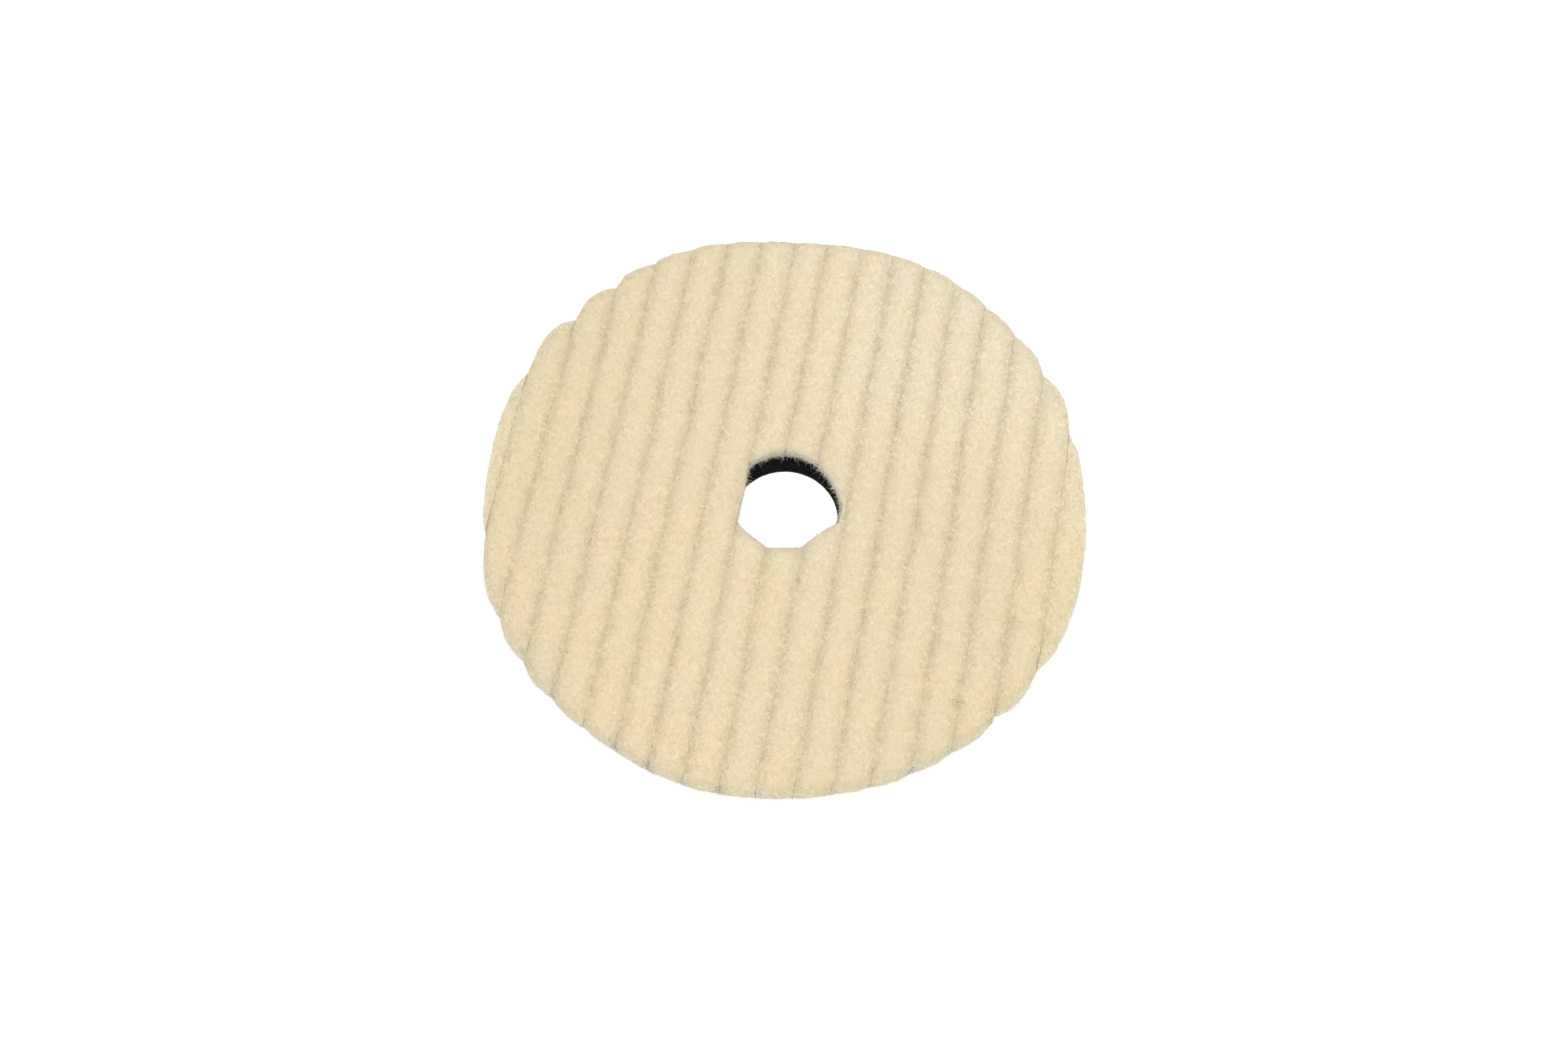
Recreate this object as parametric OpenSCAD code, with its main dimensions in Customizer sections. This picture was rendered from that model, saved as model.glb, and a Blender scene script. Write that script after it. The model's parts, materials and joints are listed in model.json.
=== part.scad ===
// Ribbed wool polishing pad: short wool pile in parallel rows on a ground cloth,
// over a black foam interlayer with a loop back for a hook plate, and a centre hole.
// The pad lies on its loop back at z = 0, with the wool face up and the rows along Y.

/* [Wool face] */
// Diameter of the wool face, over the pile
face_d = 145; // [115:1:190]
// Height of the pile above its ground cloth
pile_h = 4.2; // [3:0.1:7]
// Distance from one groove between rows to the next
row_pitch = 8.3; // [6.5:0.1:12]
// Width of the groove between two rows
row_gap = 0.7; // [0.4:0.1:1.5]
// Distance along X from the hole's axis to the nearest groove
row_shift = -1.8; // [-3:0.1:3]
// How far the sides of a row lie below its crest
row_crown = 1.1; // [0.4:0.1:1.8]
// Least width of the first and the last row, at the rim of the face
row_least = 3; // [2:0.5:5]
// Rounding of the pile at the rim and around the hole
pile_round = 2; // [0.5:0.1:2.8]
// How far the pile reaches out past its ground cloth
pile_overhang = 3; // [1:0.5:6]

/* [Centre hole] */
// Diameter of the hole through the backing
bore_d = 26; // [16:0.5:40]
// How far the pile stands back from the hole's wall
pile_setback = 0.4; // [0.2:0.1:2]

/* [Backing] */
// Thickness of the ground cloth that the pile is tufted into
cloth_t = 0.6; // [0.4:0.1:1.2]
// Thickness of the latex coat that locks the tufts and holds the foam
latex_t = 0.4; // [0.2:0.1:1]
// Thickness of the foam interlayer
foam_t = 8; // [5:0.5:15]
// How far the foam's side tapers in from the cloth to the loop back
foam_taper = 3.5; // [0:0.5:8]
// Thickness of the adhesive film between foam and loop back
film_t = 0.3; // [0.1:0.1:0.6]
// How far the film stops short of the loop back's rim
film_margin = 0.5; // [0.2:0.1:1.5]
// Thickness of the loop back
loop_t = 1; // [0.6:0.1:2]

/* [Hidden] */
face_r = face_d / 2;
cloth_r = face_r - pile_overhang;
back_r = cloth_r - foam_taper;
bore_r = bore_d / 2;
pile_hole_r = bore_r + pile_setback;

film_z = loop_t;
foam_z = film_z + film_t;
latex_z = foam_z + foam_t;
cloth_z = latex_z + latex_t;
pile_z = cloth_z + cloth_t;

// Grooves are numbered out from the one nearest the hole's axis.
first_groove = ceil((row_least - face_r - row_shift) / row_pitch);
last_groove = floor((face_r - row_least - row_shift) / row_pitch);
row_count = last_groove - first_groove + 2;

// Every row has the crown of a row of full width.
crown_r = (pow((row_pitch - row_gap) / 2, 2) + pow(row_crown, 2)) / (2 * row_crown);

round_faces = 180;
arc_faces = 64;

// A row lies between two grooves, and the first and the last reach the rim.
function groove_x(i) = row_shift + (first_groove + i - 1) * row_pitch;
function row_start(i) = i == 1 ? -face_r : groove_x(i - 1) + row_gap / 2;
function row_end(i) = i == row_count ? face_r : groove_x(i) - row_gap / 2;
function row_name(i) = str("pile_row_", i < 10 ? "0" : "", i);

LAYERS = ["loop_back", "adhesive_film", "foam_core", "latex_coat", "ground_cloth"];

wool_colour = "#ebdcb5";
cloth_colour = "#c9c2ac";
latex_colour = "#d8d4c6";
foam_colour = "#1b1b1f";
film_colour = "#55565a";
loop_colour = "#232327";

// A flat ring of backing, with its hole on the Z axis.
module backing_ring(outer_r, hole_r, thickness) {
    difference() {
        cylinder(r = outer_r, h = thickness, $fn = round_faces);
        translate([0, 0, -thickness])
            cylinder(r = hole_r, h = 3 * thickness, $fn = round_faces);
    }
}

module loop_back() {
    color(loop_colour)
        backing_ring(back_r, bore_r, loop_t);
}

module adhesive_film() {
    color(film_colour)
        translate([0, 0, film_z])
            backing_ring(back_r - film_margin, bore_r, film_t);
}

// The foam tapers from the cloth's rim down to the loop back's rim.
module foam_core() {
    color(foam_colour)
        translate([0, 0, foam_z])
            difference() {
                cylinder(r1 = back_r, r2 = cloth_r, h = foam_t, $fn = round_faces);
                translate([0, 0, -foam_t])
                    cylinder(r = bore_r, h = 3 * foam_t, $fn = round_faces);
            }
}

module latex_coat() {
    color(latex_colour)
        translate([0, 0, latex_z])
            backing_ring(cloth_r, bore_r, latex_t);
}

module ground_cloth() {
    color(cloth_colour)
        translate([0, 0, cloth_z])
            backing_ring(cloth_r, bore_r, cloth_t);
}

// The section across a row: upright sides under a crowned top.
module row_section(width) {
    intersection() {
        translate([-width / 2, 0])
            square([width, pile_h]);
        translate([0, pile_h - crown_r])
            circle(r = crown_r, $fn = arc_faces);
    }
}

// The whole pile before it is parted into rows: a ring with rounded upper edges.
module pile_ring() {
    rotate_extrude($fn = round_faces) {
        translate([pile_hole_r, 0])
            square([face_r - pile_hole_r, pile_h - pile_round]);
        translate([pile_hole_r + pile_round, 0])
            square([face_r - pile_hole_r - 2 * pile_round, pile_h]);
        for (x = [pile_hole_r + pile_round, face_r - pile_round])
            translate([x, pile_h - pile_round])
                circle(r = pile_round, $fn = arc_faces);
    }
}

// One tufted row, interrupted where the hole crosses it.
module pile_row(i) {
    color(wool_colour)
        translate([0, 0, pile_z])
            intersection() {
                pile_ring();
                translate([(row_start(i) + row_end(i)) / 2, face_d, 0])
                    rotate([90, 0, 0])
                        linear_extrude(height = 2 * face_d)
                            row_section(row_end(i) - row_start(i));
            }
}

loop_back();
adhesive_film();
foam_core();
latex_coat();
ground_cloth();
for (i = [1 : row_count])
    pile_row(i);
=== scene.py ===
"""Looks of a ribbed wool polishing pad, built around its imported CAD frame.

All shapes are worked out in millimetres in the CAD frame and scaled to metres when a mesh is made.
The pad lies on z = 0 with the wool face up, and its pile rows run along Y."""

import json
import math

import bpy
import numpy as np
from mathutils import Matrix, Vector


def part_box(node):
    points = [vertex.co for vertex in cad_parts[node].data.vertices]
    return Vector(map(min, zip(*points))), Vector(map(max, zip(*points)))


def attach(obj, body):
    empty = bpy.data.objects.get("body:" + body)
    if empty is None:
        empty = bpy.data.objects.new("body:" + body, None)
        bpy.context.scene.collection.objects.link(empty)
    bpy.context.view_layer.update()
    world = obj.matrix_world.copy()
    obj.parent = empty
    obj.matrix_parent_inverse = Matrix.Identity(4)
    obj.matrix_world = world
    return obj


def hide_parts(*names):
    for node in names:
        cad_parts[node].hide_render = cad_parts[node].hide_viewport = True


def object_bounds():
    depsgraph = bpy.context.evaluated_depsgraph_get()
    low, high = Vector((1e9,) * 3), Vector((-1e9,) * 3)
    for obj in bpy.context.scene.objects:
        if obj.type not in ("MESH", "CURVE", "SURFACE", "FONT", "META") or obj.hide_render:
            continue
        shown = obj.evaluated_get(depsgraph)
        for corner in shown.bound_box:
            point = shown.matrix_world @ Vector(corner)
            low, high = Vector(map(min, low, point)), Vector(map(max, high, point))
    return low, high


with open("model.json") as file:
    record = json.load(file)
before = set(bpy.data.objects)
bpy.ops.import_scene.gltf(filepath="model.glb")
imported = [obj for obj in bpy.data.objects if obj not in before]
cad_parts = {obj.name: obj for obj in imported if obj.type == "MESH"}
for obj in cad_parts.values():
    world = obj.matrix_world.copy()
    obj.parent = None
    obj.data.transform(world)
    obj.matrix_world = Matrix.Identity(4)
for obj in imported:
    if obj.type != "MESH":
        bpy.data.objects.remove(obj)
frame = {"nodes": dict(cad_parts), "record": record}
cad_low, cad_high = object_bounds()

MM = 0.001
BODY = "root"


# ---------------------------------------------------------------- sizes read from the frame

def box_mm(node):
    """A CAD node's lowest and highest corner, in millimetres."""
    low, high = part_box(node)
    return np.array(low) / MM, np.array(high) / MM


mounts = {m["name"]: m for m in frame["record"]["mounts"]}
BORE_R = mounts["centre_bore"]["dims"]["r_mm"]
ROWS = sorted(n for n in frame["nodes"] if n.startswith("pile_row_"))
FACE_R = float(cad_high.x) / MM
CLOTH_R = float(box_mm("ground_cloth")[1][0])
BACK_R = float(box_mm("loop_back")[1][0])
LOOP_Z = float(box_mm("loop_back")[1][2])
FOAM_Z0, FOAM_Z1 = (float(c[2]) for c in box_mm("foam_core"))
LATEX_Z1 = float(box_mm("latex_coat")[1][2])
PILE_Z0 = float(box_mm("ground_cloth")[1][2])
PILE_Z1 = float(cad_high.z) / MM

row_boxes = [box_mm(n) for n in ROWS]
# The grooves lie midway between neighbouring rows.
GROOVES = [(row_boxes[i][1][0] + row_boxes[i + 1][0][0]) / 2 for i in range(len(ROWS) - 1)]


# ---------------------------------------------------------------- noise and small maths

def smooth(t):
    """Smoothstep of t, held to 0..1."""
    t = np.clip(t, 0, 1)
    return t * t * (3 - 2 * t)


def lattice(ix, iy, iz, seed):
    """A steady random number in -1..1 for each lattice point."""
    h = (ix * 374761393 + iy * 668265263 + iz * 2147483647 + seed * 1274126177) & 0xFFFFFFFF
    h = ((h ^ (h >> 13)) * 1274126177) & 0xFFFFFFFF
    h = ((h ^ (h >> 16)) * 2246822519) & 0xFFFFFFFF
    return (h & 0xFFFFFF) / float(0x7FFFFF) - 1


def noise(x, y, z, size, seed):
    """Smooth value noise in about -1..1 with cells of the given size."""
    p = [np.asarray(c, float) / size for c in np.broadcast_arrays(x, y, z)]
    i = [np.floor(c).astype(np.int64) for c in p]
    f = [smooth(c - k) for c, k in zip(p, i)]
    total = 0
    for dx in (0, 1):
        for dy in (0, 1):
            for dz in (0, 1):
                w = (f[0] if dx else 1 - f[0]) * (f[1] if dy else 1 - f[1]) * (f[2] if dz else 1 - f[2])
                total = total + w * lattice(i[0] + dx, i[1] + dy, i[2] + dz, seed)
    return total


def unit(v):
    return v / np.maximum(np.linalg.norm(v, axis=-1, keepdims=True), 1e-9)


# ---------------------------------------------------------------- meshes

def make_piece(name, verts_mm, faces, materials, face_material=None, attributes=None, normals=None):
    """A mesh piece from points in millimetres and a list of face arrays, riding on the pad."""
    verts = np.asarray(verts_mm, np.float32) * MM
    sizes = np.concatenate([np.full(len(f), f.shape[1], np.int32) for f in faces])
    loops = np.concatenate([np.asarray(f, np.int32).ravel() for f in faces])
    mesh = bpy.data.meshes.new(name)
    mesh.vertices.add(len(verts))
    mesh.vertices.foreach_set("co", verts.ravel())
    mesh.loops.add(len(loops))
    mesh.loops.foreach_set("vertex_index", loops)
    mesh.polygons.add(len(sizes))
    mesh.polygons.foreach_set("loop_start", np.concatenate([[0], np.cumsum(sizes)[:-1]]).astype(np.int32))
    mesh.polygons.foreach_set("loop_total", sizes)
    mesh.polygons.foreach_set("use_smooth", np.full(len(sizes), True))
    for m in materials:
        mesh.materials.append(m)
    if face_material is not None:
        mesh.polygons.foreach_set("material_index", face_material.astype(np.int32))
    for key, values in (attributes or {}).items():
        layer = mesh.attributes.new(key, "FLOAT", "POINT")
        layer.data.foreach_set("value", np.asarray(values, np.float32))
    mesh.update(calc_edges=True)
    mesh.validate()
    if normals is not None:
        mesh.normals_split_custom_set_from_vertices(normals)
    piece = bpy.data.objects.new(name, mesh)
    bpy.context.scene.collection.objects.link(piece)
    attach(piece, BODY)
    return piece


def lathe(profile, count, shape=None):
    """Points and faces of a closed (radius, z) loop turned about Z; shape may move the points."""
    profile = np.asarray(profile, float)
    turn = np.linspace(0, 2 * math.pi, count, endpoint=False)
    r, z = profile[:, 0][:, None], profile[:, 1][:, None]
    points = np.stack([r * np.cos(turn), r * np.sin(turn), z + 0 * turn], -1)
    if shape is not None:
        points = shape(points)
    rings = len(profile)
    index = np.arange(rings * count).reshape(rings, count)
    below, beside = np.roll(index, -1, 0), np.roll(index, -1, 1)
    corner = np.roll(below, -1, 1)
    faces = np.stack([index, beside, corner, below], -1).reshape(-1, 4)
    return points.reshape(-1, 3), faces


def sample(points, quads, count, rng, weight=None):
    """Random places on a mesh of quads: points, normals and the quad each lies on."""
    a, b, c, d = (points[quads[:, k]] for k in range(4))
    cross = np.cross(c - a, d - b)
    area = np.linalg.norm(cross, axis=1) / 2
    share = area if weight is None else area * weight
    picked = rng.choice(len(quads), count, p=share / share.sum())
    s, t = rng.random((2, count, 1))
    a, b, c, d = (k[picked] for k in (a, b, c, d))
    place = a * (1 - s) * (1 - t) + b * s * (1 - t) + c * s * t + d * (1 - s) * t
    return place, unit(cross[picked]), picked


def fibres(path, normal, width):
    """Closed fibres, pointed at both ends and flat on top, along paths of three or more points."""
    count, knots = path.shape[:2]
    rings = knots - 2
    up = unit(normal)
    points = np.empty((count, 3 * rings + 2, 3))
    normals = np.repeat(up[:, None], 3 * rings + 2, 1)
    points[:, 0], points[:, -1] = path[:, 0], path[:, -1]
    for k in range(1, knots - 1):
        across = unit(np.cross(path[:, k + 1] - path[:, k - 1], up))
        wide = width[:, None] * (1 - 0.25 * abs(2 * k / (knots - 1) - 1))
        at = 3 * k - 2
        points[:, at] = path[:, k] + (0.5 * across + 0.2 * up) * wide
        points[:, at + 1] = path[:, k] - (0.5 * across - 0.2 * up) * wide
        points[:, at + 2] = path[:, k] - 0.4 * up * wide
        normals[:, at] += 0.3 * across
        normals[:, at + 1] -= 0.3 * across
        normals[:, at + 2] = -up
    size = 3 * rings + 2
    base = (np.arange(count) * size)[:, None]
    last, end = size - 4, size - 1
    tips = [(0, 1, 2), (0, 3, 1), (0, 2, 3)]
    tips += [(end, last + 1, last), (end, last, last + 2), (end, last + 2, last + 1)]
    sides = [(i, i + 3, i + 4, i + 1) for i in range(1, last, 3)]
    sides += [(i + 1, i + 4, i + 5, i + 2) for i in range(1, last, 3)]
    sides += [(i + 2, i + 5, i + 3, i) for i in range(1, last, 3)]
    faces = [np.concatenate([base + np.array(f) for f in group]) for group in (tips, sides) if group]
    copies = [len(group) for group in (tips, sides) if group]
    return points.reshape(-1, 3), faces, unit(normals.reshape(-1, 3)), copies


# ---------------------------------------------------------------- materials

def new_material(name, rough, sheen=0.0, sheen_rough=0.5, colour=None, specular=0.3):
    """A material with its plain values set on the shader: the material, its node tree and the shader."""
    material = bpy.data.materials.new(name)
    material.use_nodes = True
    shader = material.node_tree.nodes["Principled BSDF"]
    shader.inputs["Roughness"].default_value = rough
    shader.inputs["Sheen Weight"].default_value = sheen
    shader.inputs["Sheen Roughness"].default_value = sheen_rough
    shader.inputs["Specular IOR Level"].default_value = specular
    if colour is not None:
        shader.inputs["Base Color"].default_value = (*colour, 1)
    return material, material.node_tree, shader


class Graph:
    """Short calls that add nodes to a material."""

    def __init__(self, tree):
        self.tree = tree
        self.place = self.node("ShaderNodeTexCoord").outputs["Object"]

    def node(self, kind, **settings):
        made = self.tree.nodes.new(kind)
        for key, value in settings.items():
            setattr(made, key, value)
        return made

    def link(self, value, socket):
        if hasattr(value, "is_output"):
            self.tree.links.new(value, socket)
        else:
            socket.default_value = value

    def noise(self, size_mm, detail=2.0, rough=0.5, distortion=0.0):
        made = self.node("ShaderNodeTexNoise")
        self.link(self.place, made.inputs["Vector"])
        made.inputs["Scale"].default_value = 1 / (size_mm * MM)
        made.inputs["Detail"].default_value = detail
        made.inputs["Roughness"].default_value = rough
        made.inputs["Distortion"].default_value = distortion
        return made.outputs["Fac"]

    def cells(self, size_mm, feature="F1"):
        made = self.node("ShaderNodeTexVoronoi", feature=feature)
        self.link(self.place, made.inputs["Vector"])
        made.inputs["Scale"].default_value = 1 / (size_mm * MM)
        return made.outputs["Distance"]

    def ramp(self, value, low, high, to_low=0.0, to_high=1.0):
        made = self.node("ShaderNodeMapRange", interpolation_type="SMOOTHSTEP")
        self.link(value, made.inputs["Value"])
        for key, number in (("From Min", low), ("From Max", high), ("To Min", to_low), ("To Max", to_high)):
            made.inputs[key].default_value = number
        return made.outputs["Result"]

    def math(self, kind, a, b):
        made = self.node("ShaderNodeMath", operation=kind)
        self.link(a, made.inputs[0])
        self.link(b, made.inputs[1])
        return made.outputs["Value"]

    def mix(self, share, a, b):
        made = self.node("ShaderNodeMix", data_type="RGBA")
        self.link(share, made.inputs["Factor"])
        self.link(a if hasattr(a, "is_output") else (*a, 1), made.inputs[6])
        self.link(b if hasattr(b, "is_output") else (*b, 1), made.inputs[7])
        return made.outputs[2]

    def attribute(self, name):
        return self.node("ShaderNodeAttribute", attribute_name=name).outputs["Fac"]

    def bump(self, height, depth_mm, strength=1.0):
        made = self.node("ShaderNodeBump")
        made.inputs["Strength"].default_value = strength
        made.inputs["Distance"].default_value = depth_mm * MM
        self.link(height, made.inputs["Height"])
        return made.outputs["Normal"]


# Linear colours of the wool, from its brightest fibres to the dark backing seen in the grooves.
# The pale fibres are mostly painted light at the edges, and the khaki and grey ones mostly painted shade in
# the grooves.
WOOL = {
    "wool_pale": (0.95, 0.925, 0.85),
    "wool_light": (0.848, 0.745, 0.530),
    "wool_cream": (0.836, 0.718, 0.487),
    "wool_straw": (0.820, 0.692, 0.450),
    "wool_peach": (0.85, 0.680, 0.435),
    "wool_khaki": (0.57, 0.50, 0.36),
    "wool_grey": (0.36, 0.34, 0.29),
    "wool_dark": (0.06, 0.055, 0.05),
}
wool_fibre_materials = [new_material(name, 0.85, 0.15, 0.5, colour, 0.15)[0] for name, colour in WOOL.items()]


# How the body's colour changes where its marks are strong: mark, greatest share, colour.
BODY_TINTS = (
    ("cool", 0.8, (0.84, 0.75, 0.545)),
    ("tan", 0.7, (0.74, 0.63, 0.405)),
    ("warm", 0.6, (0.84, 0.69, 0.437)),
    # groove darkens the body as painted shade in the grooves; edge lightens it as painted light at the rim
    # and the hole's edge.
    ("groove", 0.05, (0.46, 0.41, 0.31)),
    ("edge", 0.55, (0.93, 0.90, 0.80)),
    ("notch", 0.6, (0.22, 0.21, 0.20)),
)


def wool_material():
    """The matted body of the pile between its fibres."""
    material, tree, shader = new_material("wool_pile_body", 0.9, 0.15, specular=0.15)
    g = Graph(tree)
    fleck = g.ramp(g.noise(0.25, 3.0, 0.6), 0.3, 0.7)
    colour = g.mix(fleck, (0.797, 0.688, 0.460), (0.822, 0.714, 0.486))
    # The groove tint is painted shade and the edge tint is painted light.
    for mark, share, tint in BODY_TINTS:
        colour = g.mix(g.math("MULTIPLY", g.attribute(mark), share), colour, tint)
    g.link(colour, shader.inputs["Base Color"])
    g.link(g.bump(g.noise(0.25, 4.0, 0.65), 0.12, 0.3), shader.inputs["Normal"])
    return material


def foam_material():
    """Black open-cell foam: shallow pores between fine struts."""
    material, tree, shader = new_material("black_foam", 0.95, specular=0.05)
    g = Graph(tree)
    pore = g.ramp(g.cells(0.6), 0.10, 0.55)
    # The pits are painted darker than the struts: painted shade in the pores.
    colour = g.mix(pore, (0.003, 0.003, 0.003), (0.009, 0.008, 0.0085))
    g.link(colour, shader.inputs["Base Color"])
    g.link(g.bump(pore, 0.25, 0.9), shader.inputs["Normal"])
    return material


def cloth_material():
    """Plain woven ground cloth, greyish cream."""
    material, tree, shader = new_material("ground_weave", 0.9, 0.1)
    g = Graph(tree)
    fleck = g.ramp(g.noise(0.5, 3.0), 0.35, 0.65)
    g.link(g.mix(fleck, (0.30, 0.29, 0.25), (0.58, 0.54, 0.45)), shader.inputs["Base Color"])
    g.link(g.bump(g.noise(0.4, 2.0), 0.15, 0.7), shader.inputs["Normal"])
    return material


def latex_material():
    """Matt off-white latex."""
    material, tree, shader = new_material("latex", 0.6)
    g = Graph(tree)
    tone = g.ramp(g.noise(1.5, 3.0), 0.3, 0.7)
    g.link(g.mix(tone, (0.30, 0.28, 0.24), (0.48, 0.46, 0.40)), shader.inputs["Base Color"])
    g.link(g.bump(g.noise(0.8, 3.0), 0.1, 0.5), shader.inputs["Normal"])
    return material


def film_material():
    """Dark hot-melt film."""
    material, tree, shader = new_material("hot_melt_film", 0.55, specular=0.1)
    g = Graph(tree)
    tone = g.ramp(g.noise(2.0, 2.0), 0.3, 0.7)
    g.link(g.mix(tone, (0.010, 0.010, 0.011), (0.018, 0.018, 0.020)), shader.inputs["Base Color"])
    return material


def loop_cloth_material():
    """The knitted base of the loop back, in wales along X."""
    material, tree, shader = new_material("loop_knit", 0.9, 0.05, specular=0.1)
    g = Graph(tree)
    tone = g.ramp(g.cells(0.7), 0.1, 0.6)
    g.link(g.mix(tone, (0.018, 0.018, 0.020), (0.007, 0.007, 0.008)), shader.inputs["Base Color"])
    g.link(g.bump(tone, 0.2, 0.8), shader.inputs["Normal"])
    return material


# ---------------------------------------------------------------- outline of the pile

PITCH = float(np.median(np.diff(GROOVES)))
CREST_Z = PILE_Z1 - 0.25
PILE_R = FACE_R - 0.40
# The slow waves of the rim: waves round, mm, radians.
RIM_WAVES = ((1, 0.16, 2.4), (2, 0.17, 0.0), (4, 0.50, -2.5),
             (5, 0.35, -1.0), (7, 0.17, 1.8), (8, 0.30, -1.9))
FAN_R, HOLE_FAN_R = 60.0, 20.0          # the pile fans out over the cloth edge from these radii
HOLE_R = BORE_R - 0.3                   # the pile leans a little over the hole
END_DIP = 1.1                           # how far the tips of the first and last rows draw in
CROWN, VALLEY = 0.21, 0.07              # how far a row's sides lie below its crest, and grooves below them
# How far in a rounded edge reaches, and how far it falls: at the rim, at the first and last row, at the hole.
RIM_ROUND, TIP_ROUND, HOLE_ROUND = (1.8, 1.5), (1.3, 1.0), (0.9, 0.7)
# Where the hole cuts the flank of the row on its right: a straight cut from the near corner to the
# middle one, then a round one whose radius (mm) changes with the turn (radians).
CUT_CORNERS = ((6.4, -11.0), (13.65, -3.5), (6.5, 11.1))
CUT_TURNS = (-0.25, 0.05, 0.25, 0.5, 0.85, 1.04)
CUT_RADII = (14.09, 13.8, 12.95, 12.25, 12.15, 12.75)

lobe_rng = np.random.default_rng(31)
# The bulge of each row's near and far end: its height (mm), where its peak lies, and its shift outward (mm).
LOBE_SIZE = 1 + 0.2 * lobe_rng.uniform(-1, 1, (len(ROWS), 2))
LOBE_PEAK = 0.05 * lobe_rng.uniform(-1, 1, (len(ROWS), 2))
LOBE_OUT = np.full((len(ROWS), 2), -0.08)
NEAR, FAR = 0, 1
# A few rows near the left and right rims are cut so slantwise that their ends bulge far more.
SPECIAL_LOBES = ((1, FAR, 3.1, -0.1), (2, FAR, 3.2, -0.5), (3, FAR, 2.4, -0.25), (-3, FAR, 1.6, 0.0),
                 (-2, FAR, 2.2, 0.1), (1, NEAR, 1.3, -0.2), (2, NEAR, 1.4, -0.4), (3, NEAR, 1.8, -0.1),
                 (5, NEAR, 1.2, -0.35), (6, NEAR, 1.0, -0.3), (7, NEAR, 1.0, -0.2), (12, NEAR, 1.0, -0.25),
                 (-2, NEAR, 2.2, -0.45))
for row, end, size, out_mm in SPECIAL_LOBES:
    LOBE_SIZE[row, end], LOBE_OUT[row, end] = size, out_mm


def row_edges(row):
    """The grooves on the left and right of a row; the outer rows end at the rim."""
    left = GROOVES[row - 1] if row else -PILE_R
    right = GROOVES[row] if row < len(GROOVES) else PILE_R
    return left, right


def rim_radius(theta):
    """The rim's radius before each row's end bulges."""
    return PILE_R + sum(a * np.cos(n * theta - p) for n, a, p in RIM_WAVES)


def lobe_shape(row, x, theta):
    """0 at a row's two grooves, 1 on the bulge of its cut end."""
    left, right = row_edges(row)
    far = (np.sin(theta) > 0).astype(int)
    u = np.clip((x - left) / (right - left), 0, 1)
    peak = 0.5 + 0.3 * np.cos(theta) * (0.65 + 0.35 * np.sin(theta)) + LOBE_PEAK[row, far]
    u = np.where(u < peak, u / (2 * peak), 0.5 + (u - peak) / (2 * (1 - peak)))
    return np.sin(math.pi * u) ** 0.8


def row_rim(row, x, theta):
    """Radius of the rim at a row's end, where its cut end bulges between the grooves."""
    rim = rim_radius(theta) + 0.12 * noise(60 * theta, row, 0, 1.4, 5)
    if row in (0, len(ROWS) - 1):
        groove = GROOVES[0 if row == 0 else -1]
        corner = math.sqrt(PILE_R ** 2 - groove ** 2)
        return rim - END_DIP * (1 - smooth((corner - PILE_R * np.abs(np.sin(theta))) / 7))
    far = (np.sin(theta) > 0).astype(int)
    size = (0.15 + 0.85 * np.abs(np.cos(theta)) ** 1.5) * LOBE_SIZE[row, far]
    return rim + size * (lobe_shape(row, x, theta) - 0.53) + LOBE_OUT[row, far]


def row_hole(row, x, theta):
    """Radius of the hole in the pile at a row, where the cut pile bulges into it."""
    size = np.where(np.sin(theta) < 0, 0.62, 0.35)
    bulge = size * lobe_shape(row, x, 0 * theta + math.pi / 2)
    return HOLE_R - bulge + 0.06 * noise(30 * theta, row, 0, 1.3, 6)


def side_cut():
    """The hole's edge where it cuts into the flank of the row on its right, as points from near to far."""
    near, corner, far = (np.array(p) for p in CUT_CORNERS)
    u = np.linspace(0, 1, 40)[:, None]
    chord = corner - near
    inward = np.array([-chord[1], chord[0]]) / np.hypot(*chord)
    first = near + chord * u + inward * 0.6 * np.sin(math.pi * u) ** 0.8
    turns = np.linspace(math.atan2(corner[1], corner[0]), math.atan2(far[1], far[0]), 60)[1:, None]
    r = np.interp(turns, CUT_TURNS, CUT_RADII)
    r = r + 0.1 * noise(30 * turns, 7, 0, 2.0, 8)
    second = r * np.concatenate([np.cos(turns), np.sin(turns)], 1)
    before = near - 4 * chord / np.hypot(*chord)
    after = far + 4 * np.array([-far[1], far[0]]) / np.hypot(*far)
    return np.concatenate([before[None], first, second, after[None]])


def crossing(radius, row, x, side):
    """The y on one side where a line at x meets an outline given by radius(row, x, theta)."""
    y = np.sqrt(np.maximum(radius(row, x, np.full_like(x, side * math.pi / 2)) ** 2 - x * x, 0.0))
    for _ in range(5):
        r = radius(row, x, np.arctan2(side * y, x))
        y = np.sqrt(np.maximum(r * r - x * x, 0.0))
    return side * y


def rim_x(row, y, side):
    """The x on one side where a line at y meets the rim."""
    x = np.sqrt(PILE_R ** 2 - y * y)
    for _ in range(5):
        r = row_rim(row, side * x, np.arctan2(y, side * x))
        x = np.sqrt(np.maximum(r * r - y * y, 0.0))
    return side * x


def closer_at_ends(count, pull):
    """Steps from 0 to 1 that crowd toward both ends."""
    t = np.linspace(-1, 1, count)
    return (1 + t * (1 + pull) - pull * t ** 3) / 2


def groove_shift(x, y):
    """A slow wander of the grooves."""
    return sum(a * noise(x, y, 0, size, seed) for a, size, seed in
               ((0.3, 15, 41), (0.22, 5, 42), (0.12, 2, 43), (0.10, 0.9, 44)))


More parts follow.
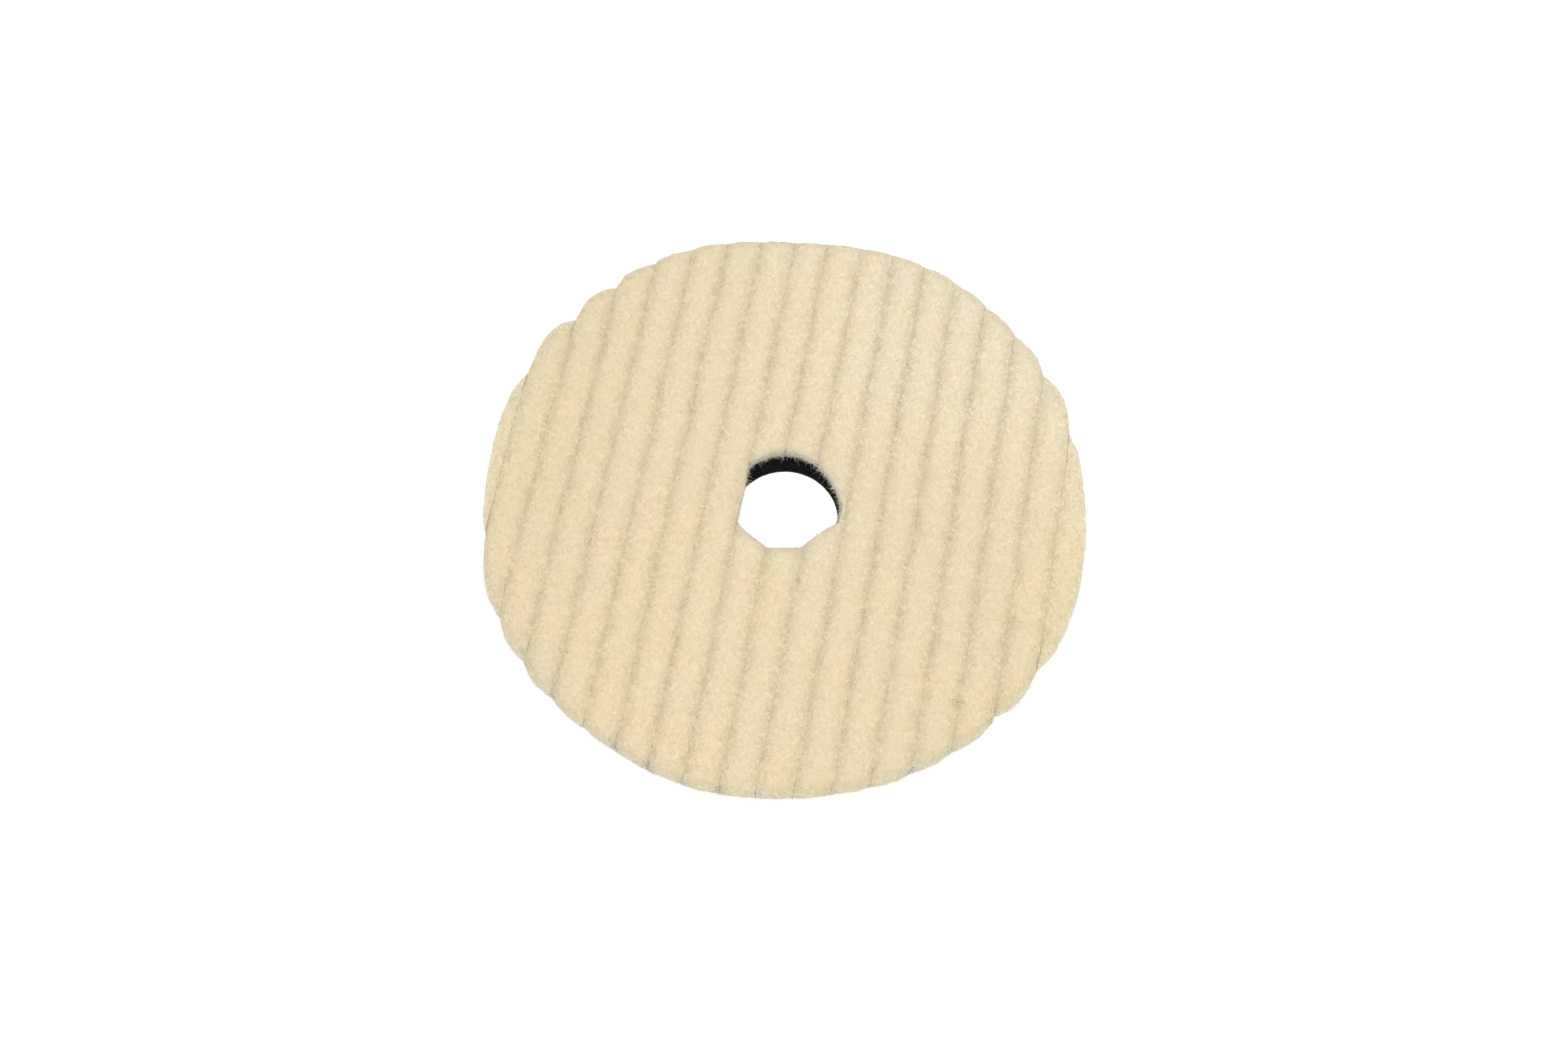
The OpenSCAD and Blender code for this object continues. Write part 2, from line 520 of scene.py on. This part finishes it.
def row_grid(row, low_end, high_end):
    """The plan of one row or part row: x and y of a grid, columns across and lines along."""
    left, right = row_edges(row)
    across = closer_at_ends(30, 0.3)
    if row == SIDE_ROW:
        middle = np.array([(left + right) / 2])
        y0, y1 = float(low_end(middle)[0]), float(high_end(middle)[0])
        along = closer_at_ends(int((y1 - y0) / 0.42), 0.35)
        start = np.maximum(left, np.interp(y0 + (y1 - y0) * along, CUT[:, 1], CUT[:, 0]))
        x = start[:, None] + (right - start)[:, None] * across
        y0, y1 = low_end(x), high_end(x)
        y = y0 + (y1 - y0) * along[:, None]
    elif 0 < row < len(ROWS) - 1:
        x = left + (right - left) * across
        y0, y1 = low_end(x), high_end(x)
        along = closer_at_ends(int(np.max(y1 - y0) / 0.42), 0.35)
        y = y0[None] + (y1 - y0)[None] * along[:, None]
        x = np.broadcast_to(x, y.shape)
    else:
        side = 1 if row else -1
        inner = left if side > 0 else -right
        y0, y1 = (float(crossing(row_rim, row, np.array([side * (inner + 0.1)]), end)[0]) for end in (-1, 1))
        y = y0 + (y1 - y0) * closer_at_ends(int((y1 - y0) / 0.42), 0.35)
        outer = np.maximum(np.abs(rim_x(row, y, side)), inner + 0.1)
        x = inner + (outer - inner)[:, None] * across[None]
        x = x if side > 0 else -x[:, ::-1]
        y = np.broadcast_to(y[:, None], x.shape)
    return x, y


def warm_patch(x, y):
    """0 where the wool is pale, 1 where it is a warmer, peachy cream."""
    return smooth(1.2 * noise(x, y, 0, 10, 51) + 0.5 * noise(x, y, 0, 4, 53) - 0.2 - 1.2 * y / FACE_R)


def edge_distance(row, x, y):
    """How far points in a row lie from its grooves, the rim and the hole."""
    left, right = row_edges(row)
    theta, r = np.arctan2(y, x), np.hypot(x, y)
    to_left = x - left if row else np.full_like(x, PITCH)
    to_right = right - x if row < len(ROWS) - 1 else np.full_like(x, PITCH)
    to_rim = row_rim(row, x, theta) - r
    near_hole = HOLE_ROWS[0] <= row <= HOLE_ROWS[1]
    to_hole = r - row_hole(row, x, theta) if near_hole else np.full_like(x, PITCH)
    if row == SIDE_ROW:
        slope = np.interp(y, CUT[:, 1], np.gradient(CUT[:, 0], CUT[:, 1]))
        to_hole = (x - np.interp(y, CUT[:, 1], CUT[:, 0])) / np.sqrt(1 + slope ** 2)
    return np.minimum(to_left, to_right), to_rim, to_hole


def round_over(d, reach, drop):
    """The fall of a rounded edge at distance d inside it."""
    t = 1 - np.clip(d / reach, 0, 1)
    return drop * (1 - np.sqrt(1 - t * t))


def pile_height(row, x, y):
    """The top of the wool body."""
    groove, rim, hole = edge_distance(row, x, y)
    z = CREST_Z - CROWN * (1 - np.clip(groove / (PITCH / 2), 0, 1)) ** 2
    z = z - VALLEY * (1 - smooth(groove / 1.1)) * (0.35 + 0.65 * smooth(rim / 5))
    rim_round = TIP_ROUND if row in (0, len(ROWS) - 1) else RIM_ROUND
    z = z - round_over(rim, *rim_round) - round_over(hole, *HOLE_ROUND)
    z = z + 0.10 * noise(x, y, 0, 4.0, 21) + 0.025 * noise(x, y, 0, 1.5, 22)
    return np.maximum(z, PILE_Z0 + 0.6)


def foot(points):
    """Where the pile over a point is rooted: drawn in at the rim and out at the hole."""
    r = np.hypot(points[:, 0], points[:, 1])
    out_share = (PILE_R - CLOTH_R + 0.05) / (PILE_R - FAN_R)
    rooted = r - np.maximum(r - FAN_R, 0) * out_share
    in_share = (BORE_R + 0.25 - HOLE_R) / (HOLE_FAN_R - HOLE_R)
    rooted = rooted + np.maximum(HOLE_FAN_R - rooted, 0) * in_share
    rooted = np.maximum(rooted, BORE_R + 0.2)
    return points[:, :2] * (rooted / np.maximum(r, 1e-6))[:, None]


SKIRT = ((0.3, 0.0), (0.62, 0.22), (0.85, 0.6), (1.0, 1.0))   # share of the way down, share drawn in
OPEN_REACH = 58.0                       # grooves further out than this don't open at the near rim


def row_body(row, low_end, high_end):
    """Points, quads, triangles and colour marks of a closed row of pile."""
    x, y = row_grid(row, low_end, high_end)
    lines, columns = x.shape
    z = pile_height(row, x, y)
    groove, rim, hole = edge_distance(row, x, y)
    groove = np.maximum(groove, 0)
    depth = 0.8 + 0.3 * noise(x, y, 0, 2.6, 24) + 0.35 * noise(x, y, 0, 0.8, 25)
    depth = np.clip(depth, 0.2, 1.3)
    # Some grooves open to the dark backing where they meet the near rim, and the painted shade of all grooves
    # fades toward the far rim.
    inner = np.abs(x) < PILE_R - 3
    chance = noise(x + 3 * inner, 40 * np.sign(y), 0, 0.7 * PITCH, 27)
    open_end = np.where((y < 0) & (np.abs(x) < OPEN_REACH), np.clip(0.62 + 0.9 * chance, 0.1, 1), 0.12)
    fade = np.where(y < 0, 0.5 + 0.5 * smooth(rim / 4), 0.15 + 0.85 * smooth(rim / 5))
    # groove and deep are painted shade in the grooves, deep partly also the dark backing seen between the
    # fibres; edge is painted light at the rim and the hole's edge.
    marks = {"groove": fade * np.exp(-(groove / 1.2) ** 1.3) * depth,
             "deep": fade * np.exp(-(groove / 0.65) ** 2) * depth,
             "tan": 0.9 * smooth((-x - 30) / 35) + 0.5 * smooth((x - 28) / 35) * smooth(0.5 - y / 60),
             "cool": smooth((y - 2) / 38) * smooth((x + 20) / 38),
             "warm": warm_patch(x, y),
             "edge": 0.65 * np.maximum(1 - smooth(rim / 1.5), 1 - smooth(hole / 1.3)),
             "notch": open_end * np.exp(-(groove / 1.2) ** 2 - (np.maximum(rim, 0) / 1.5) ** 2)}
    marks = {k: v.ravel() for k, v in marks.items()}
    top = np.stack([x + groove_shift(x, y) * smooth(rim / 4), y, z], -1).reshape(-1, 3)
    index = np.arange(lines * columns).reshape(lines, columns)
    quads = [np.stack([index[:-1, :-1], index[:-1, 1:], index[1:, 1:], index[1:, :-1]], -1).reshape(-1, 4)]
    ring = np.concatenate([index[0, :-1], index[:-1, -1], index[-1, :0:-1], index[:0:-1, 0]])
    edge = top[ring]
    root = foot(edge)
    points, above = [top], ring
    values = {k: [v] for k, v in marks.items()}
    for down, drawn in SKIRT:
        level = np.empty_like(edge)
        level[:, :2] = edge[:, :2] + (root - edge[:, :2]) * drawn
        level[:, 2] = edge[:, 2] + (PILE_Z0 - edge[:, 2]) * down
        below = sum(len(p) for p in points) + np.arange(len(ring))
        quads.append(np.stack([below, np.roll(below, -1), np.roll(above, -1), above], -1))
        points.append(level)
        for k, v in marks.items():
            # The skirt takes the full painted light of the edge.
            values[k].append(np.maximum(v[ring], 0.95) if k == "edge" else v[ring])
        above = below
    near = above[:columns]
    right = above[columns - 1:columns + lines - 1]
    far = above[columns + lines - 2:2 * columns + lines - 2]
    left = np.append(above[2 * columns + lines - 3:], above[0])[::-1]
    quads.append(np.stack([left[1:], right[1:], right[:-1], left[:-1]], -1))
    fans = [np.stack([np.full(len(e) - 2, e[0]), e[2:], e[1:-1]], -1) for e in (near, far)]
    values = {k: np.concatenate(v) for k, v in values.items()}
    return np.concatenate(points), quads, np.concatenate(fans), values


def row_parts(row):
    """The low and high ends of a row: one part, or two where the hole cuts it."""
    rim_low = lambda x: crossing(row_rim, row, x, -1)
    rim_high = lambda x: crossing(row_rim, row, x, 1)
    if HOLE_ROWS[0] <= row <= HOLE_ROWS[1]:
        return [(rim_low, lambda x: crossing(row_hole, row, x, -1)),
                (lambda x: crossing(row_hole, row, x, 1), rim_high)]
    return [(rim_low, rim_high)]


def meets_hole(row):
    """True for the rows that the hole cuts; a row that only brushes past it stays whole."""
    left, right = row_edges(row)
    return (max(abs(left), abs(right)) < BORE_R + 0.4 * PITCH
            and min(abs(left), abs(right)) < 0.75 * BORE_R + 1
            and abs(left + right) / 2 < 0.9 * BORE_R)


hole_rows = [row for row in range(len(ROWS)) if meets_hole(row)]
HOLE_ROWS = (hole_rows[0], hole_rows[-2])      # cut in two by the hole
SIDE_ROW = hole_rows[-1]                       # cut into on its left flank alone
CUT = side_cut()


# ---------------------------------------------------------------- pile

body_material = wool_material()

MAT_FIBRES, MAT_WIDTH, MAT_LENGTH = 20000, 0.075, 1.45     # number on a full-length row; mm; mm
CURLS, CURL_WIDTH, CURL_LENGTH = 1500, 0.055, 2.3
FRINGE, FRINGE_WIDTH = 45.0, 0.030      # number for each mm of the rim and of the hole's edge; mm
LONGEST_FRINGE = 2.8                    # mm
FULL_ROW = 135.0                        # mm, a full-length row
LAST_LONG_KIND = 5                      # in WOOL; the grey and dark fibres after it are short
# Shares of WOOL's colours on a plain crest, a warm, cool or tan stretch of it, the side and the middle of a
# groove, whose darker fibres are painted shade, a rim or hole edge, whose pale fibres are painted light, and
# a groove's open end, where the dark fibres are the backing and the pale ones painted light.
SHARES = {
    "crest": (0.00, 0.30, 0.48, 0.18, 0.04, 0.004, 0.000, 0.000),
    "warm": (0.00, 0.08, 0.27, 0.33, 0.32, 0.004, 0.000, 0.000),
    "cool": (0.08, 0.46, 0.42, 0.04, 0.00, 0.004, 0.000, 0.000),
    "tan": (0.00, 0.06, 0.32, 0.52, 0.04, 0.060, 0.000, 0.000),
    "groove": (0.03, 0.32, 0.43, 0.15, 0.03, 0.045, 0.003, 0.000),
    "deep": (0.04, 0.30, 0.36, 0.13, 0.02, 0.105, 0.026, 0.008),
    "edge": (0.42, 0.42, 0.16, 0.00, 0.00, 0.000, 0.000, 0.000),
    "notch": (0.46, 0.08, 0.05, 0.00, 0.00, 0.050, 0.150, 0.210),
}


def colour_index(marks, rng):
    """Picks each fibre's colour by how far it is in a groove, whose darker fibres are painted shade, in a
    warm patch or at an edge, whose pale fibres are painted light.
    """
    marks = {k: np.clip(v, 0, 1) for k, v in marks.items()}
    left = 1
    mix = 0
    for key in ("notch", "edge", "deep", "groove", "tan", "warm", "cool"):
        mix = mix + (left * marks[key])[:, None] * np.array(SHARES[key])
        left = left * (1 - marks[key])
    mix = mix + left[:, None] * np.array(SHARES["crest"])
    limits = np.cumsum(mix / mix.sum(1, keepdims=True), 1)
    return np.minimum((rng.random(len(left))[:, None] > limits).sum(1), len(WOOL) - 1)


def quad_area(points, quads):
    a, b, c, d = (points[quads[:, k]] for k in range(4))
    return np.linalg.norm(np.cross(c - a, d - b), axis=1) / 2


def wool_paths(part, count, knots, long, rng, shaded=True):
    """Paths, normals and colours of fibres that lie on a part of a row and rise a little from it."""
    points, faces, _, values = part
    quads = np.concatenate(faces[:4])
    middle = points[quads].mean(1)
    reach = np.hypot(middle[:, 0], middle[:, 1])
    outside = (reach > PILE_R - 4) | (reach < BORE_R + 1)
    on_top = np.arange(len(quads)) < len(faces[0])
    weight = np.where(on_top | outside, 1.0, 0.0) * np.where(outside, 1.3, 1.0)
    weight = weight * (1 + 0.8 * values["groove"][quads[:, 0]])
    place, normal, quad = sample(points, quads, count, rng, weight)
    marks = {k: v[quads[quad, 0]] for k, v in values.items()}
    groove = np.clip(marks["groove"], 0, 1)
    x, y = place[:, 0], place[:, 1]
    theta, r = np.arctan2(y, x), np.hypot(x, y)
    rim = smooth((r - PILE_R + 2.5) / 2.5)
    # On the crest the nap lies along the row; in a groove it stands up and crosses it.
    nap = math.pi / 2 + math.pi * (rng.random(count) < 0.5) + rng.normal(0, 0.7, count)
    nap = np.where(rng.random(count) < 0.35 + 0.5 * groove, rng.uniform(0, 2 * math.pi, count), nap)
    out_x, out_y = 0.8 * rim * np.cos(theta), 0.8 * rim * np.sin(theta)
    lean = np.stack([np.cos(nap) + out_x, np.sin(nap) + out_y, 0 * nap], -1)
    lean = unit(lean - normal * (lean * normal).sum(1, keepdims=True))
    side = np.cross(normal, lean)
    if not shaded:
        marks.update(groove=0 * groove, deep=0 * groove, notch=0 * groove)
    kind = colour_index(marks, rng)
    length = np.clip(rng.normal(long, 0.25 * long, count), 0.4 * long, 1.7 * long)
    length = length * (1 - 0.45 * groove) * (1 - 0.4 * rim) * np.where(kind > LAST_LONG_KIND, 0.6, 1.0)
    lift = rng.uniform(0.01, 0.08, count) * (1 + 2.5 * groove + 0.8 * rim)
    bend = rng.normal(0, 0.16, count) * length
    curl = rng.normal(0, 0.10, count) * length
    path = np.empty((count, knots, 3))
    for k in range(knots):
        t = k / (knots - 1)
        arch = 4 * t * (1 - t)
        path[:, k] = (place + lean * (length * (t - 0.5))[:, None]
                      + side * (bend * arch + curl * math.sin(2 * math.pi * t))[:, None]
                      + normal * (lift * arch - 0.03)[:, None])
    return path, unit(normal + rim[:, None] * np.array([0, 0, 0.8])), kind


def fringe_paths(part, rng):
    """Loose fibres that stand out from the rim and over the hole."""
    points, faces, _, values = part
    quads = np.concatenate(faces[:3])
    middle = points[quads].mean(1)
    reach = np.hypot(middle[:, 0], middle[:, 1])
    near = smooth((reach - PILE_R + 2.0) / 1.5) + smooth((BORE_R + 1.4 - reach) / 0.8)
    edge = (quad_area(points, quads) * near).sum() / 3.5
    count = int(FRINGE * edge)
    if count < 8:
        return None
    place, normal, quad = sample(points, quads, count, rng, near)
    x, y = place[:, 0], place[:, 1]
    theta, r = np.arctan2(y, x), np.hypot(x, y)
    sign = np.where(r > 0.5 * PILE_R, 1.0, -1.0)
    turn = rng.normal(0, 0.95, count)
    away = np.stack([np.cos(theta + turn), np.sin(theta + turn), rng.normal(0.08, 0.35, count)], -1)
    away = unit(away * sign[:, None] + 0.5 * normal)
    length = 0.35 + rng.gamma(2.0, 0.22, count)
    length = np.minimum(np.where(rng.random(count) < 0.04, 2.2 * length, length), LONGEST_FRINGE)
    side = unit(np.cross(away, normal + np.array([0.05, 0.03, 0.4])))
    bend, curl = rng.normal(0, 0.28, (2, count)) * length
    droop = rng.uniform(-0.05, 0.3, count) * length
    path = np.empty((count, 5, 3))
    for k in range(5):
        t = k / 4
        path[:, k] = (place - 0.1 * normal + away * (length * t)[:, None]
                      + side * (bend * t * t + 0.5 * curl * math.sin(2 * math.pi * t))[:, None]
                      - np.array([0, 0, 1.0]) * (droop * t * t)[:, None])
    marks = {k: v[quads[quad, 0]] for k, v in values.items()}
    # Fringe fibres take the pale edge colours: painted light at the rim and the hole.
    marks.update(groove=0 * r, deep=0 * r, edge=0 * r + 1, notch=0.5 * marks["notch"])
    return path, unit(normal + np.array([0, 0, 0.8])), colour_index(marks, rng)


def row_fibres(parts, rng):
    """The separate wool fibres that lie and stand on a row's body."""
    full = sum(quad_area(p, q[0]).sum() for p, q, _, _ in parts)
    whole = min(1.0, full / (PITCH * FULL_ROW))
    groups = []
    for part in parts:
        share = whole * quad_area(part[0], part[1][0]).sum() / full
        groups.append((MAT_WIDTH, wool_paths(part, int(MAT_FIBRES * share), 3, MAT_LENGTH, rng)))
        groups.append((CURL_WIDTH, wool_paths(part, int(CURLS * share), 5, CURL_LENGTH, rng, False)))
        groups.append((FRINGE_WIDTH, fringe_paths(part, rng)))
    verts, normals, faces, materials, base = [], [], [], [], 0
    for thick, group in groups:
        if group is None:
            continue
        path, normal, kind = group
        v, f, n, copies = fibres(path, normal, thick * rng.uniform(0.75, 1.25, len(path)))
        verts.append(v)
        normals.append(n)
        faces.extend(k + base for k in f)
        materials.extend(np.tile(kind, c) for c in copies)
        base += len(v)
    return np.concatenate(verts), faces, np.concatenate(materials), np.concatenate(normals)


for row, node in enumerate(ROWS):
    parts = [row_body(row, *ends) for ends in row_parts(row)]
    verts, quads, tris, base = [], [], [], 0
    for p, q, t, _ in parts:
        verts.append(p)
        quads.extend(k + base for k in q)
        tris.append(t + base)
        base += len(p)
    values = {k: np.concatenate([p[3][k] for p in parts]) for k in parts[0][3]}
    name = node.replace("pile_row", "wool_row")
    piece = make_piece(name, np.concatenate(verts), quads + tris, [body_material],
                       attributes=values)
    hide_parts(node)
    rng = np.random.default_rng(100 + row)
    verts, faces, kinds, normals = row_fibres(parts, rng)
    make_piece(node.replace("pile_row", "wool_fibres"), verts, faces, wool_fibre_materials,
               face_material=kinds, normals=normals)


# ---------------------------------------------------------------- backing

def foam_body():
    """The foam ring, with a tapered side and open pores on its side and in its hole."""
    edge, steps, turns = 0.25, 27, 960
    z = np.linspace(FOAM_Z0 + edge, FOAM_Z1 - edge, steps)
    side_r = BACK_R + (CLOTH_R - BACK_R) * (z - FOAM_Z0) / (FOAM_Z1 - FOAM_Z0)
    r_top = np.linspace(CLOTH_R - 0.4, BORE_R + 0.3, 9)
    r_low = np.linspace(BORE_R + 0.3, BACK_R - 0.3, 9)
    profile = (list(zip(side_r, z)) + [(r, FOAM_Z1) for r in r_top]
               + [(BORE_R, v) for v in z[::-1]] + [(r, FOAM_Z0) for r in r_low])

    def pores(p):
        x, y, h = p[..., 0], p[..., 1], p[..., 2]
        r = np.hypot(x, y)
        inside = (h > FOAM_Z0 + 0.1) & (h < FOAM_Z1 - 0.1)
        pit = np.maximum(noise(x, y, h, 0.9, 61) - 0.15, 0) * 0.5 + 0.1 * noise(x, y, h, 2.5, 62)
        sign = np.where(r > 40, -1, 1)
        moved = r + np.where(inside, sign * np.maximum(pit, -0.05), 0)
        return np.stack([x * moved / r, y * moved / r, h], -1)

    return lathe(profile, turns, pores)


verts, faces = foam_body()
foam = make_piece("foam_interlayer", verts, [faces], [foam_material()])
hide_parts("foam_core")


def ragged(amount, size, seed):
    """Moves a ring's two edges in and out at random."""
    def shape(p):
        x, y, h = p[..., 0], p[..., 1], p[..., 2]
        r = np.hypot(x, y)
        outer = r > 0.9 * BACK_R
        inner = r < 1.2 * BORE_R
        off = amount * noise(x, y, 0, size, seed)
        moved = r + np.where(outer, off, 0) + np.where(inner, np.abs(off), 0)
        return np.stack([x * moved / r, y * moved / r, h], -1)
    return shape


cloth_profile = ([(CLOTH_R, LATEX_Z1 + 0.1), (CLOTH_R, PILE_Z0 - 0.1)]
                 + [(r, PILE_Z0) for r in np.linspace(CLOTH_R - 0.1, BORE_R + 0.2, 24)]
                 + [(BORE_R + 0.08, PILE_Z0 - 0.1), (BORE_R + 0.08, LATEX_Z1 + 0.1)]
                 + [(r, LATEX_Z1) for r in np.linspace(BORE_R + 0.2, CLOTH_R - 0.1, 24)])
verts, faces = lathe(cloth_profile, 720, ragged(0.18, 0.9, 71))
cloth = make_piece("woven_ground", verts, [faces], [cloth_material()])
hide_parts("ground_cloth")

latex_profile = ([(CLOTH_R - 0.15, FOAM_Z1 + 0.08), (CLOTH_R - 0.1, LATEX_Z1 - 0.08)]
                 + [(r, LATEX_Z1) for r in np.linspace(CLOTH_R - 0.3, BORE_R + 0.3, 12)]
                 + [(BORE_R + 0.1, LATEX_Z1 - 0.08), (BORE_R + 0.1, FOAM_Z1 + 0.08)]
                 + [(r, FOAM_Z1) for r in np.linspace(BORE_R + 0.3, CLOTH_R - 0.3, 12)])
verts, faces = lathe(latex_profile, 480, ragged(0.12, 2.5, 72))
latex = make_piece("latex_coating", verts, [faces], [latex_material()])
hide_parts("latex_coat")

film = bpy.data.objects["adhesive_film"]
for film_slot in film.material_slots:
    film_slot.material = film_material()

LOOP_BASE = 0.55                       # share of the loop back that is its knitted base
base_z = LOOP_Z * (1 - LOOP_BASE)
knit_profile = ([(BACK_R, base_z + 0.1), (BACK_R, LOOP_Z - 0.08)]
                + [(r, LOOP_Z) for r in np.linspace(BACK_R - 0.1, BORE_R + 0.1, 16)]
                + [(BORE_R, LOOP_Z - 0.08), (BORE_R, base_z + 0.1)]
                + [(r, base_z) for r in np.linspace(BORE_R + 0.1, BACK_R - 0.1, 16)])
verts, faces = lathe(knit_profile, 480, ragged(0.08, 1.5, 73))
knit = make_piece("loop_knit_base", verts, [faces], [loop_cloth_material()])


def loop_pile():
    """Small open loops of yarn hanging from the knitted base, in staggered wales."""
    rng = np.random.default_rng(81)
    pitch, thick, sides = 1.36, 0.105, 3
    angles = np.linspace(0, math.pi, 5)
    steps = int(BACK_R / pitch) + 1
    line = np.arange(-steps, steps + 1) * pitch
    gx, gy = np.meshgrid(line, line)
    gx = gx + (np.arange(gx.shape[0]) % 2)[:, None] * pitch / 2
    x = gx.ravel() + rng.uniform(-0.25, 0.25, gx.size)
    y = gy.ravel() + rng.uniform(-0.25, 0.25, gx.size)
    r = np.hypot(x, y)
    keep = (r > BORE_R + 0.8) & (r < BACK_R - 0.8)
    x, y = x[keep], y[keep]
    count = len(x)
    turn = rng.normal(0, 0.5, count)
    half = rng.uniform(0.46, 0.68, count)
    deep = rng.uniform(0.75, 1.0, count) * (base_z - 0.06)
    lean = rng.uniform(-0.35, 0.35, count)
    rings = []
    for a in angles:
        cx = x + np.cos(turn) * half * math.cos(a) - np.sin(turn) * lean * math.sin(a)
        cy = y + np.sin(turn) * half * math.cos(a) + np.cos(turn) * lean * math.sin(a)
        cz = base_z + 0.05 - (deep + 0.05) * math.sin(a)
        centre = np.stack([cx, cy, cz], -1)
        out = np.stack([np.cos(turn) * math.cos(a), np.sin(turn) * math.cos(a), 0 * turn - math.sin(a)], -1)
        side = np.stack([-np.sin(turn), np.cos(turn), 0 * turn], -1)
        for k in range(sides):
            b = 2 * math.pi * k / sides
            rings.append(centre + thick * (out * math.cos(b) + side * math.sin(b)))
    points = np.stack(rings, 1)
    size = sides * len(angles)
    base = (np.arange(count) * size)[:, None]
    corners = [(i, k, (k + 1) % sides) for i in range(0, size - sides, sides) for k in range(sides)]
    quads = [base + np.array([i + k, i + sides + k, i + sides + after, i + after]) for i, k, after in corners]
    caps = [base + np.array([0, 1, 2]), base + np.array([size - 1, size - 2, size - 3])]
    points[..., 2] = np.maximum(points[..., 2], 0.0)
    return points.reshape(-1, 3), [np.concatenate(quads), np.concatenate(caps)]


loop_yarn = new_material("loop_yarn", 0.7, 0.2, 0.4, (0.032, 0.032, 0.035), 0.25)[0]
verts, faces = loop_pile()
loops = make_piece("loop_yarns", verts, faces, [loop_yarn])
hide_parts("loop_back")


# ---------------------------------------------------------------- floor, light and camera

scene = bpy.context.scene
scene.view_settings.view_transform = "Standard"

floor_material, _, floor_shader = new_material("studio_floor", 0.9, colour=(0.3, 0.3, 0.3))
floor_shader.inputs["Emission Color"].default_value = (1, 1, 1, 1)
floor_shader.inputs["Emission Strength"].default_value = 0.95
FLOOR_HALF, FLOOR_DROP = 4.0, 0.0002    # metres
floor_corners = [(x * FLOOR_HALF, y * FLOOR_HALF, 0) for x, y in ((-1, -1), (1, -1), (1, 1), (-1, 1))]
floor_mesh = bpy.data.meshes.new("floor")
floor_mesh.from_pydata(floor_corners, [], [(0, 1, 2, 3)])
floor_mesh.materials.append(floor_material)
floor = bpy.data.objects.new("floor", floor_mesh)
floor.location.z = -FLOOR_DROP
scene.collection.objects.link(floor)

world = bpy.data.worlds.new("studio")
world.use_nodes = True
world.node_tree.nodes["Background"].inputs["Color"].default_value = (1, 1, 1, 1)
world.node_tree.nodes["Background"].inputs["Strength"].default_value = 0.97
scene.world = world

key_light = bpy.data.lights.new("key", "AREA")
key_light.energy = 2.6
key_light.size = 0.8
key = bpy.data.objects.new("key", key_light)
key.location = (0.2, 0.45, 1.0)
key.rotation_euler = (Vector((0, 0, 0)) - key.location).to_track_quat("-Z", "Y").to_euler()
scene.collection.objects.link(key)

AZIMUTH, ELEVATION, ROLL = math.radians(11.3), math.radians(68.55), -0.0154
DISTANCE, AIM = 415.7, Vector((-0.16, -5.35, 13.0))        # mm
LENS, SENSOR = 40.24, 36                # mm
forward = Vector((0, math.cos(ELEVATION), -math.sin(ELEVATION)))
up = Vector((0, math.sin(ELEVATION), math.cos(ELEVATION)))
right = Vector((1, 0, 0))
cam_right = right * math.cos(ROLL) + up * math.sin(ROLL)
cam_up = up * math.cos(ROLL) - right * math.sin(ROLL)
axes = Matrix((cam_right, cam_up, -forward)).transposed()
turn = Matrix.Rotation(AZIMUTH, 3, "Z")
camera_data = bpy.data.cameras.new("camera")
camera_data.sensor_width = SENSOR
camera_data.lens = LENS
camera = bpy.data.objects.new("camera", camera_data)
place = (turn @ (AIM - forward * DISTANCE)) * MM
camera.matrix_world = Matrix.Translation(place) @ (turn @ axes).to_4x4()
scene.collection.objects.link(camera)
scene.camera = camera
